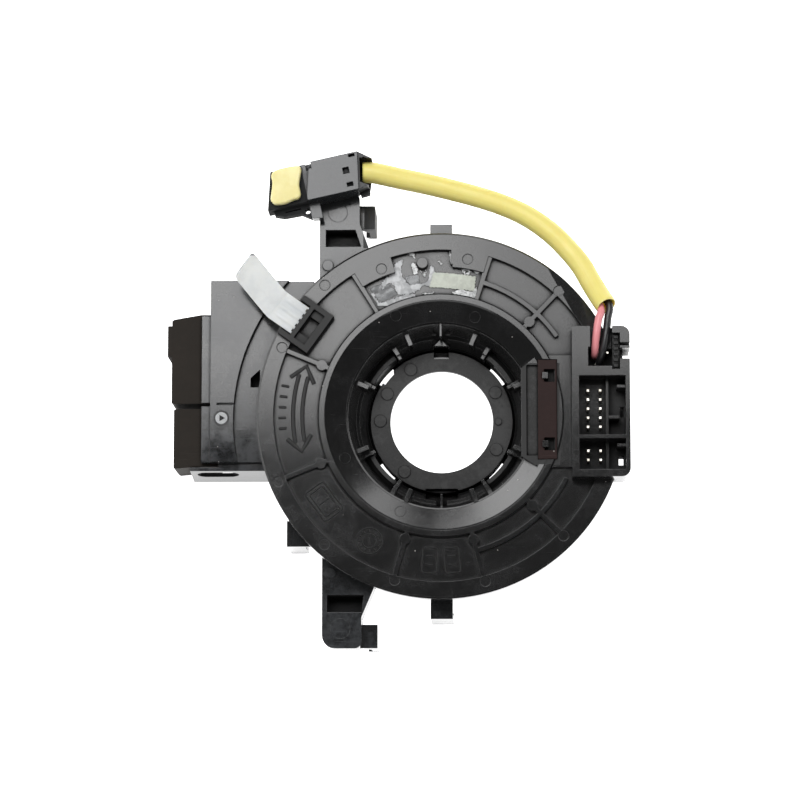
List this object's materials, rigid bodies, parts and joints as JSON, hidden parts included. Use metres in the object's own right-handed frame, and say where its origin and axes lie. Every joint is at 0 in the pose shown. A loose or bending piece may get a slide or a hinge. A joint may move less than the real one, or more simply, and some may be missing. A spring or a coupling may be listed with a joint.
{
  "type": "steering clock spring",
  "caption": "Steering clock spring: a round rotor with a funnel hub and header block turns on a clip-on case, with a coiled flat cable inside and a sleeved airbag lead.",
  "frame": {"origin": "on the steering axis at the rear edge of the shaft bore's wall", "axes": "+Z along the steering axis towards the driver, +Y up in the front view, +X towards the header block"},
  "size_m": [0.1301, 0.139, 0.037],
  "materials": {
    "case_plastic": "satin",
    "rotor_plastic": "satin",
    "hub_plastic": "satin",
    "socket_plastic": "satin",
    "plug_plastic": "satin",
    "brown_plastic": "satin",
    "lock_plastic": "satin",
    "tab_plastic": "translucent white",
    "sheet_plastic": "smooth",
    "cable_film": "glossy",
    "terminal_metal": "tin plated",
    "sleeve_plastic": "soft satin",
    "red_insulation": "satin",
    "black_insulation": "satin"
  },
  "bodies": {
    "stator": {"case": "case_plastic", "rear_cover": "hub_plastic", "upper_harness_socket": "socket_plastic", "lower_harness_socket": "socket_plastic", "upper_harness_terminals": "terminal_metal", "lower_harness_terminals": "terminal_metal", "case_lead_block": "hub_plastic", "rear_slide_sheet": "sheet_plastic", "flat_cable": "cable_film"},
    "rotor": {"rotor_plate": "rotor_plastic", "retaining_sleeve": "hub_plastic", "front_slide_sheet": "sheet_plastic", "rotor_lead_block": "hub_plastic", "terminal_cover": "brown_plastic", "connector_block": "rotor_plastic", "ten_way_terminals": "terminal_metal", "four_way_terminals": "terminal_metal", "wire_retainer": "hub_plastic", "lead_terminals": "terminal_metal", "red_wire": "red_insulation", "black_wire": "black_insulation", "lead_sleeve": "sleeve_plastic", "plug_body": "plug_plastic", "plug_rear_hood": "plug_plastic", "plug_terminals": "terminal_metal"},
    "lock_tab": {"lock_tab": "tab_plastic"},
    "airbag_lock": {"plug_lock_button": "lock_plastic"}
  },
  "joints": [
    {"name": "rotor_turn", "type": "hinge", "parent": "stator", "child": "rotor", "pos_m": [0, 0, 0], "axis": [0, 0, 1], "range_deg": [-810, 810]},
    {"name": "lock_tab_pull", "type": "slide", "parent": "rotor", "child": "lock_tab", "axis": [-0.8121, 0.5835, 0], "range_m": [0, 0.012]},
    {"name": "airbag_lock_slide", "type": "slide", "parent": "rotor", "child": "airbag_lock", "axis": [0.9759, 0.2181, 0], "range_m": [0, 0.0014]}
  ]
}
